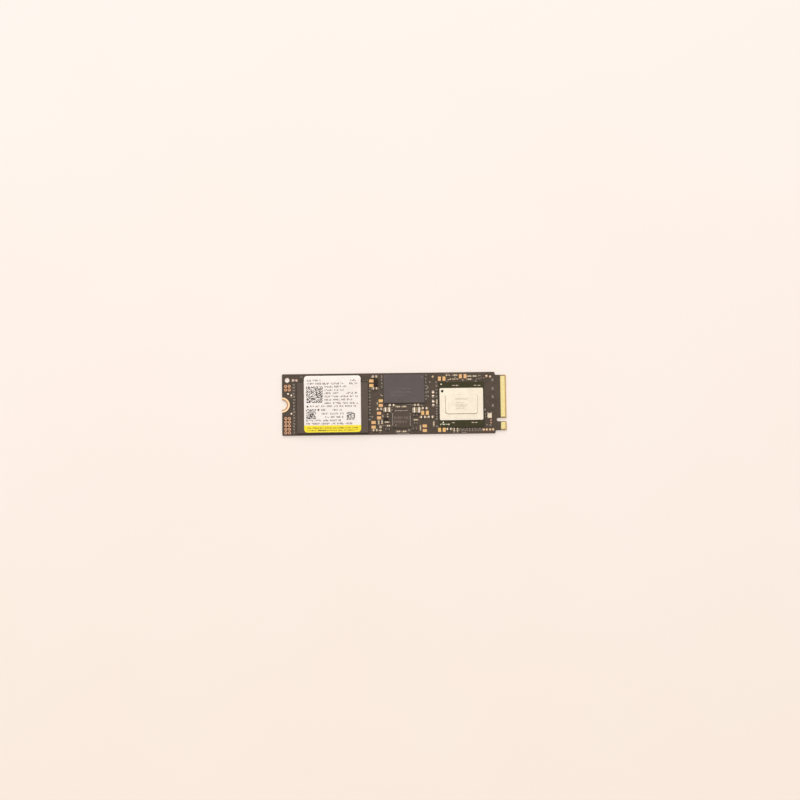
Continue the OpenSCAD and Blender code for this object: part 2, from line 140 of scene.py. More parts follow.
class Build:
    """Collects small closed shapes into one piece. Its flat ones run from low to high."""

    def __init__(self, low=0, high=0):
        self.low, self.high = low, high
        self.points = []
        self.faces = []

    def join(self, first, second, count):
        """Faces between two closed rows of count points, given by their first indices."""
        for k in range(count):
            after = (k + 1) % count
            self.faces.append([first + k, first + after, second + after, second + k])

    def loft(self, lower, upper):
        """Closed shape between two outlines that run counter-clockwise, seen from the upper one's side."""
        start, count = len(self.points), len(lower)
        self.points += lower + upper
        self.faces.append([start + k for k in reversed(range(count))])
        self.faces.append([start + count + k for k in range(count)])
        self.join(start, start + count, count)

    def prism(self, outline, high=None):
        """Upright prism over an outline that runs counter-clockwise."""
        top = self.high if high is None else high
        self.loft([(x, y, self.low) for x, y in outline], [(x, y, top) for x, y in outline])

    def bar(self, x, y, width, height):
        """Upright block centred on x and y."""
        w, h = width / 2, height / 2
        self.prism([(x - w, y - h), (x + w, y - h), (x + w, y + h), (x - w, y + h)])

    def disc(self, x, y, radius, sides=24):
        self.prism(circle(x, y, radius, sides))

    def ribbon(self, path, width, high=None):
        """Prism of one width along a path."""
        self.prism(aside(path, -width / 2) + aside(path, width / 2)[::-1], high)

    def hoop(self, x, y, inner, outer, sides=24):
        """Flat ring with square edges."""
        start = len(self.points)
        for radius, z in ((inner, self.low), (outer, self.low), (outer, self.high), (inner, self.high)):
            self.points += [(*spot, z) for spot in circle(x, y, radius, sides)]
        for ring in range(4):
            self.join(start + ring * sides, start + (ring + 1) % 4 * sides, sides)

    def lathe(self, x, y, profile, sides=12):
        """Closed turned shape over a profile of (radius, z) that starts and ends on its axis."""
        start, rings = len(self.points), profile[1:-1]
        last = start + (len(rings) - 1) * sides
        for radius, z in rings:
            self.points += [(*spot, z) for spot in circle(x, y, radius, sides)]
        for first in range(start, last, sides):
            self.join(first, first + sides, sides)
        for first, z, turn in ((start, profile[0][1], -1), (last, profile[-1][1], 1)):
            for k in range(sides):
                self.faces.append([len(self.points), *[first + k, first + (k + 1) % sides][::turn]])
            self.points.append((x, y, z))

    def piece(self, name, finish, slot, smooth=False):
        """Makes the piece, gives it its finish and lets it ride on the card."""
        made = show_mesh(name, [[c * MM for c in p] for p in self.points], self.faces, finish)
        if smooth:
            made.data.shade_smooth()
        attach(made, ROOT)
        return made


# Finishes

def linear(colour):
    """Screen colour as the linear colour that a shader takes."""
    shares = (c / 255 for c in colour)
    return [s / 12.92 if s <= 0.04045 else ((s + 0.055) / 1.055) ** 2.4 for s in shares] + [1.0]


class Nodes:
    """Short calls for the nodes of one tree."""

    def __init__(self, tree):
        self.tree = tree

    def add(self, kind, **settings):
        made = self.tree.nodes.new("ShaderNode" + kind)
        for key, value in settings.items():
            setattr(made, key, value)
        return made

    def put(self, socket, value):
        """Links an output to a socket or writes a plain value on it. None changes nothing."""
        if isinstance(value, bpy.types.NodeSocket):
            self.tree.links.new(value, socket)
        elif value is not None:
            socket.default_value = value

    def fill(self, kind, *values, output=0, named=(), **settings):
        """Adds a node, fills its first inputs and the named ones, and gives an output."""
        made = self.add(kind, **settings)
        for label, value in (*enumerate(values), *dict(named).items()):
            self.put(made.inputs[label], value)
        return made.outputs[output]

    def math(self, operation, *values):
        return self.fill("Math", *values, operation=operation)

    def span(self, value, low, high, to_low=0.0, to_high=1.0):
        """Maps low to high onto to_low to to_high, clamped."""
        return self.fill("MapRange", value, low, high, to_low, to_high)

    def part(self, vector, name):
        return self.fill("SeparateXYZ", vector, output=name)

    def seen(self):
        """1 for the camera's rays, also through glass, and 1 for these and reflected ones, else 0."""
        rays = self.add("LightPath").outputs
        clear = self.math("MAXIMUM", rays["Is Camera Ray"], rays["Is Transmission Ray"])
        return clear, self.math("MAXIMUM", clear, rays["Is Glossy Ray"])


# The part of a noise's range over which a finish drifts
DRIFT = (0.3, 0.7)


class Finish(Nodes):
    """A material round one Principled shader."""

    def __init__(self, name, roughness=0.5, metallic=0.0, **sockets):
        self.material = bpy.data.materials.new(name + "_finish")
        self.material.use_nodes = True
        super().__init__(self.material.node_tree)
        self.shader = self.tree.nodes["Principled BSDF"]
        for label, value in {"Roughness": roughness, "Metallic": metallic, **sockets}.items():
            self.shader.inputs[label.replace("_", " ")].default_value = value
        self.place = self.add("TexCoord").outputs["Object"]

    def axis(self, name):
        """Position along X, Y or Z, in metres."""
        return self.part(self.place, name)

    def wave(self, name, pitch):
        """Sine along X, Y or Z, from -1 to 1."""
        return self.math("SINE", self.math("MULTIPLY", self.axis(name), math.tau / (pitch * MM)))

    def reach(self, x, y):
        """Distance from the upright line through x and y."""
        flat = self.fill("CombineXYZ", self.axis("X"), self.axis("Y"))
        gap = self.fill("VectorMath", flat, (x * MM, y * MM, 0), output="Value", operation="DISTANCE")
        return self.math("DIVIDE", gap, MM)

    def past(self, name, least):
        """1 beyond least along X, Y or Z, else 0."""
        return self.math("GREATER_THAN", self.axis(name), least * MM)

    def within(self, x_from, x_to, y_from, y_to):
        """1 inside this upright block, else 0."""
        share = 1
        for name, least, most in (("X", x_from, x_to), ("Y", y_from, y_to)):
            below = self.math("LESS_THAN", self.axis(name), most * MM)
            share = self.math("MULTIPLY", share, self.math("MULTIPLY", self.past(name, least), below))
        return share

    def facing(self, name):
        """How far the surface's normal points along X, Y or Z, from -1 to 1."""
        return self.part(self.add("NewGeometry").outputs["Normal"], name)

    def level(self):
        """How level the surface lies, from 0 to 1."""
        return self.math("ABSOLUTE", self.facing("Z"))

    def flat(self, least):
        """1 where the surface lies more level than least, else 0."""
        return self.math("GREATER_THAN", self.level(), least)

    def noise(self, size, detail=3.0, stretch=(1, 1, 1)):
        """Noise with blotches about size across, from 0 to 1."""
        scaled = self.fill("Mapping", self.place, named={"Scale": [s / (size * MM) for s in stretch]})
        return self.fill("TexNoise", scaled, named={"Scale": 1.0, "Detail": detail})

    def cells(self, size):
        """Distance from the nearest of many scattered points, from 0 to 1."""
        return self.fill("TexVoronoi", self.place, output="Distance", named={"Scale": 1 / (size * MM)})

    def drift(self, size, detail=3.0, low=0.0, high=1.0):
        """Soft drift from low to high over blotches about size across."""
        return self.span(self.noise(size, detail), *DRIFT, low, high)

    def mix(self, share, first, second):
        """Colour between first and second, by share."""
        return self.fill("Mix", output="Result", data_type="RGBA",
                         named={"Factor": share, "A": first, "B": second})

    def tones(self, first, second, size, detail=3.0):
        """Colour that drifts between two screen colours."""
        return self.mix(self.drift(size, detail), linear(first), linear(second))

    def over(self, base, tone, share):
        """The base colour, with a screen colour over it by share."""
        return self.mix(share, base, linear(tone))

    def bump(self, height, depth, under=None):
        """Bump of height 0 to 1 over depth, on top of the one under it."""
        return self.fill("Bump", 1.0, named={"Distance": depth * MM, "Height": height, "Normal": under})

    def dress(self, colour, normal=None, rough=None):
        """Links these to the shader, and gives the material."""
        for label, value in (("Base Color", colour), ("Normal", normal), ("Roughness", rough)):
            self.put(self.shader.inputs[label], value)
        return self.material


COAT = (65, 52, 36), (76, 61, 44)
TRACE_COAT = (78, 62, 47), (88, 72, 56)
COAT_GLOSS = 0.35
LAMINATE = (92, 62, 38), (148, 112, 68)
WINDOW = (206, 184, 122), (222, 202, 142)
# Browner laminate past the outermost contacts and beside the key slot, and the room round that
WINDOW_EDGE, WINDOW_ROOM = (158, 134, 88), 1
# Warm ground between the header's eyelets, and how far it runs past them
HEADER_TONE, HEADER_MARGIN = (72, 28, 0), 0.12
# Pale colour on the tooling hole's wall, painted light that brightens the hole, and how far round the hole
# it is looked for
HOLE_WALL, HOLE_WALL_ROOM = (232, 216, 196), 0.1
BEVEL_TONE = (204, 166, 108)
# Satin gold of the ring, its darker tone towards the notch, and the radii between which it darkens
RING_FACE, RING_INNER_TONE, RING_DARKENING = ((216, 182, 142), (227, 195, 157)), (158, 118, 84), (2.05, 2.25)
# Copper tones of the eyelets' faces, and painted shade for the walls of their narrow holes
EYELET_FACE, EYELET_BORE_SHADE = ((214, 166, 126), (230, 184, 144)), (96, 56, 36)
# Gold of a contact, and its wiped strip's tone, middle and half widths, full and faded out
CONTACT_FACE = (208, 194, 131), (217, 206, 148)
WIPED_TONE, WIPED_X, WIPED_HALF = (226, 218, 172), 0.85, (0.1, 0.45)
SPECK_TONE, SPECK_PITCH = (128, 118, 108), 0.11
CARRIER_COAT, CARRIER_CUT = ((49, 46, 14), (59, 56, 22)), (112, 96, 56)
LID_FACE = (208, 199, 182), (218, 209, 192)
# Painted shade on the lid's drawn walls towards -Y and painted light on those towards +Y
LID_WALL_SHADE_AND_LIGHT = (164, 144, 118), (240, 230, 212)
SILICON = (70, 72, 80), (84, 86, 94)
LENS = (176, 134, 130), (196, 152, 146)
# Dark tone of a zone of solder, as a share of its light one
ZONE_DRIFT = 0.93


def header_fields():
    """Block round the eyelets on each side of the notch, as (x from, x to, y from, y to)."""
    for side in (-1, 1):
        lows, highs = zip(*(box for box in islands("header_eyelets") if box[0].y * side > 0))
        yield [edge for k in range(2) for edge in (min(low[k] for low in lows) - HEADER_MARGIN,
                                                   max(high[k] for high in highs) + HEADER_MARGIN)]


def coating_grain(finish):
    """Fine ripple of a printed solder coating over the glass weave."""
    weave = finish.math("MULTIPLY", finish.wave("X", 0.42), finish.wave("Y", 0.36))
    return finish.bump(finish.noise(0.09, 2.0), 0.0015, finish.bump(finish.span(weave, -1, 1), 0.0006))


def board():
    """Dark coating on both faces, layered laminate on the cut walls, bare laminate at the contacts."""
    made = Finish("board", Specular_IOR_Level=COAT_GLOSS)
    coat = made.tones(*COAT, 3.5, 4.0)
    for field in header_fields():
        coat = made.over(coat, HEADER_TONE, made.within(*field))
    fibres = made.span(made.noise(0.5, 5.0, stretch=(1, 1, 9)), *DRIFT, 0.4, 1.0)
    layers = made.math("MULTIPLY", made.span(made.wave("Z", 0.16), -1, 1), fibres)
    wall = made.mix(layers, *map(linear, LAMINATE))
    in_hole = made.math("LESS_THAN", made.reach(*TOOLING_HOLE), TOOLING_HOLE_R + HOLE_WALL_ROOM)
    # Pale wall in the tooling hole: painted light
    wall = made.over(wall, HOLE_WALL, in_hole)
    wall = made.over(wall, BEVEL_TONE, made.past("X", BOARD_HIGH.x - BEVEL_RUN))
    bare = made.mix(made.span(made.noise(0.3, 4.0), 0.35, 0.65), *map(linear, WINDOW))
    low, high = box_mm("upper_contacts")
    for ys in ((high.y, BOARD_HIGH.y), (BOARD_LOW.y, low.y),
               (KEY_SLOT[1] - WINDOW_ROOM, KEY_SLOT[1] + WINDOW_ROOM)):
        edge = made.within(CONTACT_X - WINDOW_ROOM, BOARD_HIGH.x + WINDOW_ROOM, *ys)
        bare = made.over(bare, WINDOW_EDGE, edge)
    face = made.mix(made.past("X", CONTACT_X - WINDOW_MARGIN), coat, bare)
    lying = made.flat(0.97)
    return made.dress(made.mix(lying, wall, face), coating_grain(made), made.span(lying, 0, 1, 0.75, 0.42))


def trace():
    made = Finish("trace", roughness=0.4, Specular_IOR_Level=COAT_GLOSS)
    return made.dress(made.tones(*TRACE_COAT, 2.5), coating_grain(made))


def plate(made, colour, roughness, grain=0.25):
    """Dresses plated metal with a fine etched grain."""
    return made.dress(colour, made.bump(made.noise(0.05), 0.0008),
                      made.drift(grain, 4.0, roughness - 0.06, roughness + 0.08))


def gold(name, first, second, roughness, size=0.8):
    """Gold plate whose tone drifts over blotches of this size."""
    made = Finish(name, metallic=1.0)
    return plate(made, made.tones(first, second, size, 4.0), roughness)


def ring():
    """Satin gold, duller towards the notch."""
    made = Finish("ring", metallic=1.0)
    uneven = made.span(made.noise(0.4), 0, 1, -0.08, 0.08)
    outward = made.span(made.math("ADD", made.reach(BOARD_LOW.x, 0), uneven), *RING_DARKENING)
    return plate(made, made.mix(outward, linear(RING_INNER_TONE), made.tones(*RING_FACE, 0.8, 4.0)), 0.36)


def eyelet():
    """Copper-toned plating, with painted shade inside the narrow holes."""
    made = Finish("eyelet", metallic=1.0)
    face = made.tones(*EYELET_FACE, 0.6, 4.0)
    # The eyelets' hole walls get painted shade
    return plate(made, made.mix(made.flat(0.7), linear(EYELET_BORE_SHADE), face), 0.4, 0.2)


def contact():
    """Hard gold with the fine lines of its plating along the contact, and a wiped strip."""
    made = Finish("contact", metallic=1.0)
    lines = made.noise(0.03, 2.0, stretch=(0.04, 1, 1))
    off = made.math("ABSOLUTE", made.math("SUBTRACT", made.axis("X"), (CONTACT_X + WIPED_X) * MM))
    wiped = made.span(off, *(half * MM for half in WIPED_HALF), 1.0, 0.0)
    rough = made.math("ADD", made.span(lines, *DRIFT, 0.24, 0.36), made.math("MULTIPLY", wiped, 0.06))
    tone = made.over(made.tones(*CONTACT_FACE, 0.9), WIPED_TONE, made.math("MULTIPLY", wiped, 0.25))
    return made.dress(tone, made.bump(lines, 0.0006), rough)


def solder(name, first, second, roughness, *zones):
    """Reflowed tin with soft dimples. A zone, as (x from, x to, y from, y to, colour), has its own tone:
    painted shade where it is darker and painted highlight where it is lighter than the tin round it.
    """
    made = Finish(name, metallic=0.85)
    drift = made.drift(0.35, 4.0)
    tone = made.mix(drift, linear(first), linear(second))
    for *block, colour in zones:
        own = made.mix(drift, linear([c * ZONE_DRIFT for c in colour]), linear(colour))
        tone = made.mix(made.within(*block), tone, own)
    return made.dress(tone, made.bump(made.noise(0.16, 2.0), 0.012),
                      made.drift(0.12, 3.0, roughness - 0.08, roughness + 0.1))


def moulding(name, first, second, gloss=0.5):
    """Moulding compound: fine matt grain with sparse glassy specks and a slight drift of tone."""
    made = Finish(name, Specular_IOR_Level=gloss)
    specks = made.math("MULTIPLY", made.span(made.cells(SPECK_PITCH), 0.0, 0.16, 1.0, 0.0), 0.35)
    return made.dress(made.over(made.tones(first, second, 4.0), SPECK_TONE, specks),
                      made.bump(made.noise(0.045), 0.004), made.drift(0.2, 3.0, 0.44, 0.6))


def carrier():
    """Green-black coating, bare laminate at the cut sides."""
    made = Finish("carrier", roughness=0.34, Specular_IOR_Level=0.2)
    coat = made.tones(*CARRIER_COAT, 1.6, 4.0)
    return made.dress(made.mix(made.flat(0.7), linear(CARRIER_CUT), coat), coating_grain(made))


def lid():
    """Satin nickel over pressed sheet: soft grain and faint rolling lines, with painted shade on the drawn
    walls that face -Y and painted light on those that face +Y.
    """
    made = Finish("lid", metallic=0.9)
    # Painted shade on walls facing -Y, painted light on walls facing +Y
    wall = made.mix(made.span(made.facing("Y"), -0.6, 0.3), *map(linear, LID_WALL_SHADE_AND_LIGHT))
    tone = made.mix(made.span(made.level(), 0.6, 0.95), wall, made.tones(*LID_FACE, 2.2, 5.0))
    lines = made.bump(made.noise(0.05, stretch=(0.03, 1, 1)), 0.0008)
    return made.dress(tone, made.bump(made.noise(0.06), 0.0016, lines), made.drift(0.5, 4.0, 0.34, 0.46))


def ceramic(name, first, second, roughness=0.6):
    """Fired ceramic, ferrite or glaze: a fine grain."""
    made = Finish(name, roughness=roughness)
    return made.dress(made.tones(first, second, 0.25, 4.0), made.bump(made.noise(0.05, 4.0), 0.004))


def paper(name, first, second):
    """Coated label stock: faint fibre and a slight unevenness."""
    made = Finish(name)
    fibre = made.noise(0.12, 5.0, stretch=(0.5, 1, 1))
    return made.dress(made.tones(first, second, 2.8, 5.0),
                      made.bump(fibre, 0.0025, made.bump(made.noise(2.5, 2.0), 0.02)))


def printed(name, first, second, roughness=0.55):
    """Ink: slightly uneven in tone, as a fine screen leaves it."""
    made = Finish(name, roughness=roughness)
    return made.dress(made.tones(first, second, 0.12, 4.0), made.bump(made.noise(0.04, 2.0), 0.001))


def silicon():
    """Ground back of a die, with its fine lines."""
    made = Finish("silicon", metallic=0.6)
    lines = made.noise(0.03, 2.0, stretch=(0.05, 1, 1))
    return made.dress(made.tones(*SILICON, 1.5), rough=made.span(lines, *DRIFT, 0.15, 0.3))


def lens():
    """Clear resin over a lamp, softly uneven."""
    made = Finish("lens", roughness=0.18, Coat_Weight=0.6, Transmission_Weight=0.25)
    return made.dress(made.tones(*LENS, 0.3), made.bump(made.noise(0.2, 1.0), 0.004))


INK = printed("ink", (128, 118, 112), (150, 140, 132))
CODE = printed("code", (40, 35, 32), (54, 48, 44))
BAND_INK = printed("band_ink", (112, 86, 12), (136, 108, 18))
LEGEND = printed("legend", (164, 152, 137), (184, 172, 157))
LASER = printed("laser", (98, 88, 82), (108, 98, 92))
POWER_LASER = printed("power_laser", (120, 105, 88), (134, 118, 100))
LID_LASER = printed("lid_laser", (190, 175, 150), (200, 186, 162), 0.6)
DOT = printed("dot", (10, 8, 6), (20, 16, 13), 0.5)
GAP = printed("gap", (78, 46, 16), (96, 60, 26), 0.7)
RIM = gold("rim", (132, 88, 60), (148, 104, 74), 0.45)
MARK = gold("mark", (204, 199, 172), (216, 210, 186), 0.4)
TRACE = trace()
# The zones in these solder finishes hold painted shade where darker and painted highlight where lighter than
# the rest
BEAD = solder("bead", (236, 223, 205), (246, 235, 219), 0.32, (10, 20, 0, 11, (176, 158, 138)),
              (20, 40, 0, 11, (212, 197, 178)), (10, 40, -11, 0, (216, 190, 166)))
BALL = solder("ball", (196, 194, 190), (214, 212, 206), 0.3)
END = solder("end", (183, 169, 148), (200, 186, 165), 0.32, (13, 14.8, -1.5, 4.8, (229, 215, 199)))
DIM_TIN = (136, 122, 102), (164, 150, 128), 0.45
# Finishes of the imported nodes. Other nodes have the finish of solder balls or of metal ends
DRESS = [
    (board(), "circuit_board"),
    (contact(), "upper_contacts lower_contacts"),
    (ring(), "ground_ring"),
    (eyelet(), "header_eyelets"),
    (gold("land", (191, 146, 116), (199, 168, 102), 0.34, 5), "test_pads spare_lands"),
    (MARK, "controller_marks"),
    (moulding("flash", (75, 60, 47), (83, 68, 54)), "left_flash_package right_flash_package"),
    (moulding("memory", (78, 67, 64), (86, 75, 72)), "memory_package"),
    (moulding("power", (62, 46, 29), (72, 55, 38)), "power_chip"),
    (moulding("black", (36, 22, 9), (47, 31, 16), 0.25), "load_switch clamp_diode"),
    (carrier(), "controller_carrier"),
    (lid(), "controller_lid"),
    (silicon(), "controller_die"),
    (ceramic("paste", (150, 150, 150), (170, 170, 170), 0.7), "controller_paste"),
    (ceramic("ceramic", (98, 78, 54), (120, 98, 70)), "large_capacitor_bodies"),
    (ceramic("pale_ceramic", (168, 148, 114), (188, 168, 132)),
     "controller_capacitor_bodies small_capacitor_bodies tiny_capacitor_bodies"),
    (ceramic("ferrite", (126, 110, 86), (150, 132, 104), 0.5), "small_inductor large_inductor"),
    (ceramic("glaze", (44, 38, 34), (58, 50, 44), 0.25),
     "large_resistor_bodies small_resistor_bodies tiny_resistor_bodies"),
    (ceramic("tray", (98, 86, 72), (118, 104, 88)), "crystal_base"),
    (ceramic("lamp_base", (222, 214, 202), (236, 228, 216)), "status_lamp_base"),
    (lens(), "status_lamp_lens"),
    (gold("cap", (192, 177, 155), (205, 191, 169), 0.36), "crystal_cap"),
    (paper("paper", (243, 236, 228), (250, 244, 237)), "label"),
    (paper("band", (246, 226, 10), (252, 234, 28)), "label_band"),
    (solder("bright_end", (212, 200, 183), (224, 213, 196), 0.3),
     "small_inductor_ends large_inductor_ends crystal_ends"),
    (solder("lamp_end", (204, 176, 156), (218, 192, 172), 0.36), "status_lamp_ends"),
    # Zones in the solder finishes below hold painted shade where darker and painted highlight where lighter
    (solder("mixed_end", (214, 197, 171), (228, 211, 185), 0.32, (-4, 9, -11, -3, (122, 103, 93))),
     "large_resistor_ends"),
    (solder("lead", (240, 230, 216), (252, 244, 232), 0.3, (-1, 6, -11, -8.6, (150, 136, 120))),
     "power_chip_leads"),
    (solder("dim", *DIM_TIN), "load_switch_leads"),
    (solder("row_end", *DIM_TIN, (22, 32, -11, -8, (172, 158, 138))), "tiny_resistor_ends"),
    (solder("varied_end", *DIM_TIN, (18, 24, 8, 11, (222, 200, 168)),
            (-3, -1.8, -5, -3.4, (214, 196, 172)), (33.5, 36, -8, -5, (226, 180, 144))),
     "small_resistor_ends"),
]
FINISHES = {name: BALL if name.endswith("_balls") else END for name in nodes}
FINISHES.update((name, finish) for finish, names in DRESS for name in names.split())

# Radius of the softened edges of some nodes, and of metal ends
EDGE_RADII = {
    0.06: "controller_lid small_inductor large_inductor",
    0.05: "status_lamp_lens",
    0.04: "left_flash_package right_flash_package memory_package load_switch clamp_diode crystal_cap",
    0.03: "power_chip large_capacitor_bodies",
    0.025: "small_capacitor_bodies",
    0.02: "crystal_base",
    0.008: "spare_lands test_pads",
}
END_RADIUS = 0.04
WELD_REACH = 0.0005
EDGE_ANGLE = 25


def soften(piece, radius, segments=2):
    """Joins the mesh's split corners and rounds its edges."""
    weld = piece.modifiers.new("weld", "WELD")
    weld.merge_threshold = WELD_REACH * MM
    bevel = piece.modifiers.new("bevel", "BEVEL")
    bevel.width = radius * MM
    bevel.segments = segments
    bevel.limit_method = "ANGLE"
    bevel.angle_limit = math.radians(EDGE_ANGLE)


radii = {name: radius for radius, names in EDGE_RADII.items() for name in names.split()}
for name, piece in nodes.items():
    piece.data.materials.clear()
    piece.data.materials.append(FINISHES[name])
    if name in radii or name.endswith("_ends"):
        soften(piece, radii.get(name, END_RADIUS))


# Print and marks

INK_T = 0.004
SUNK = 0.002
# Greeked print: shortest word, and the bars' widths in letters and heights in rows
WORD_LEAST = 3
BAR_WIDTHS = (0.45, 0.85)
BAR_HEIGHTS = (0.5, 0.8, 1.0)
# Chance that a field's square is filled, by how many of the two before it are, and how much of it
FILL_CHANCE = (0.78, 0.55, 0.3)
FILL_SHARE = 0.98


def laid_on(surface, thickness=INK_T):
    """Build for flat shapes that lie on a surface, a little sunk into it."""
    return Build(surface - SUNK, surface + thickness)


def greeked(surface, rows, rng, letter=0.42, word=6):
    """Rows, as (first x, last x, y, height), of bars in the rhythm of small print, with nothing to read."""
    build = laid_on(surface)
    for x, x_to, y, height in rows:
        left = rng.randint(WORD_LEAST, word)
        while x < x_to:
            width, tall = letter * rng.uniform(*BAR_WIDTHS), height * rng.choice(BAR_HEIGHTS)
            build.bar(x + width / 2, y + (height - tall) / 2 * rng.choice((-1, 0, 1)), width, tall)
            x += letter
            left -= 1
            if left == 0:
                x += letter
                left = rng.randint(WORD_LEAST, word)
    return build


def mosaic(build, x_from, y_from, side, count, rng):
    """Square field of chance squares. It has no corner marks and no border, so it says nothing."""
    cell = side / count
    filled = set()
    for column in range(count):
        for row in range(count):
            beside = ((column - 1, row) in filled) + ((column, row - 1) in filled)
            if rng.random() < FILL_CHANCE[beside]:
                filled.add((column, row))
                build.bar(x_from + (column + 0.5) * cell, y_from + (row + 0.5) * cell,
                          cell * FILL_SHARE, cell * FILL_SHARE)


# Rows of print on the label, as (first x, last x, y)
LABEL_ROWS = [
    (-31, -26, 8.5), (-15.5, -13.5, 8.5), (-31, -18.3, 7.35), (-16, -13, 7.35),
    (-24.8, -16.9, 6.25), (-24.8, -18, 5.05), (-24.8, -20, 3.95), (-17, -13.2, 3.95),
    (-24.8, -13.2, 2.75), (-24.8, -15, 1.6), (-24.8, -13.2, 0.35), (-30, -13.8, -0.75),
    (-26, -24, -2.05), (-22, -18.5, -2.05), (-25.8, -18, -3.4), (-24.6, -18.2, -4.6),
    (-31.4, -19, -5.8), (-31.4, -15, -6.95),
]
LABEL_ROW_H, LABEL_LETTER = 0.66, 0.5
LABEL_DOTS, LABEL_DOT_R = [(-30.9, -0.8), (-27, -2)], 0.35
# Square fields on the label, as (first x, first y, side, squares along a side)
LABEL_FIELDS = [(-31.3, 0.5, 5.9, 20), (-31.4, -5.25, 3.5, 12), (-16.95, -5.7, 2.9, 10)]
# Rows of print on the yellow band, with their letter's width and longest word
BAND_ROWS = [(-31, -13, -8.5), (-31, -27.6, -9.35), (-24.2, -13.2, -9.35)]
BAND_ROW_H, BAND_PRINT = 0.45, (0.3, 14)
# Bold bars in the lower of them, with their widths as shares of their pitch
BOLD_X, BOLD_Y, BOLD_PITCH, BOLD_COUNT, BOLD_WIDTHS = -27.1, -9.35, 0.42, 7, (0.6, 0.8)


def print_label():
    rng = random.Random(31)
    lines = greeked(LABEL_TOP, [(*row, LABEL_ROW_H) for row in LABEL_ROWS], rng, LABEL_LETTER)
    codes = laid_on(LABEL_TOP)
    for dot in LABEL_DOTS:
        codes.disc(*dot, LABEL_DOT_R)
    for field in LABEL_FIELDS:
        mosaic(codes, *field, rng)
    band = greeked(BAND_TOP, [(*row, BAND_ROW_H) for row in BAND_ROWS], rng, *BAND_PRINT)
    bold = laid_on(BAND_TOP)
    for k in range(BOLD_COUNT):
        bold.bar(BOLD_X + k * BOLD_PITCH, BOLD_Y, BOLD_PITCH * rng.uniform(*BOLD_WIDTHS), BAND_ROW_H)
    lines.piece("label_lines", INK, "label_paper")
    codes.piece("label_fields", CODE, "label_paper")
    band.piece("band_lines", BAND_INK, "label_yellow")
    bold.piece("band_bold", CODE, "label_yellow")


# Columns of small marks printed on the board, as (x, first y, last y, step), and the step's drift
LEGEND_COLUMNS = [
    (-35.75, 7.3, -10, 1.05), (-8.75, 5.7, -5.9, 1.1), (-4.35, 9.8, 5.2, 1.2),
    (11.4, 10.1, 0.3, 1.2), (12.1, 5.6, 1.6, 1.4), (15.15, 7.6, 1.9, 1.3), (15.2, -1, -6.4, 0.9),
]
STEP_DRIFT = (0.95, 1.1)
# Single marks of the same kind, as (x, y)
LEGEND_MARKS = [
    (12.8, 7.6), (32.4, -2.5), (-1.4, -3), (15.2, -8.3), (33, -7.9), (34.2, -8), (24.6, 8.2),
    (9.9, -0.7), (30.6, 9.7), (29.2, 7.75), (18.9, 7.7), (21.9, 9.1), (5.2, -9.4), (-7.9, -4.6),
]
# The bars of a mark, and how far it strays
MARK_PITCH, MARK_STROKE, MARK_LENGTHS = 0.22, 0.13, (0.3, 0.45, 0.6)
MARK_STRAY = (-0.06, 0.06)
# Blocks of four short bars beside the contacts: their places, and a bar's offset and size
EDGE_MARK_X, EDGE_MARK_YS = 35.2, (8.15, 5, 2.1, -1.05)
EDGE_BAR_OFF, EDGE_BAR_SIZE = (0.18, 0.24), (0.22, 0.36)
# Slanted strokes between the lowest row of resistors: first place, step, number, width, half height
# and the leans that they may have
SLANT_X, SLANT_Y, SLANT_STEP, SLANT_COUNT = 23.2, -9.6, 1.15, 8
SLANT_STROKE, SLANT_HALF, SLANT_LEANS = 0.17, 0.5, (-0.22, 0.22, 0)
# Thin printed lines, as (x, y, width, height)
LEGEND_LINES = [
    (5.5, -0.35, 2.1, 0.12), (-33, 9.95, 1.2, 0.12), (-36.7, 2.7, 0.9, 0.12),
    (18.8, 10.45, 1.6, 0.12), (24.8, -10.6, 1.7, 0.12), (3, -10.75, 4.4, 0.12),
]
# Letter's width and longest word of the print on the controller's carrier and on the lid
CARRIER_PRINT, LID_PRINT = (0.3, 12), (0.2, 30)
# Rows of print on these and on the memory package, as (first x, last x, y, height)
CARRIER_ROWS = [(16.35, 19.65, -7.68, 0.5)]
MEMORY_ROWS = [(3, 6.7, 5.3, 0.5), (-0.9, 6.7, 4.1, 0.5), (-1.2, 3.6, 2.9, 0.5)]
LID_ROWS = [
    (21.6, 26.2, 1.3, 0.55), (21.9, 24.8, 0.05, 0.4), (21.9, 26.2, -0.65, 0.4),
    (21.9, 26.2, -1.27, 0.45), (21.9, 25, -2.03, 0.4),
]
# Heights above the coating: copper under it, and print over that
RELIEF_T, LEGEND_T = 0.008, 0.013


def legend_mark(build, x, y, rng):
    """Two to four short bars side by side, like worn small print that says nothing."""
    count = rng.choice((2, 3, 3, 4))
    turn = 1 if rng.random() < 0.5 else -1
    for k in range(count):
        size = MARK_STROKE, rng.choice(MARK_LENGTHS)
        off = (k - (count - 1) / 2) * MARK_PITCH, rng.uniform(*MARK_STRAY)
        off_x, off_y = off[::turn]
        build.bar(x + off_x, y + off_y, *size[::turn])


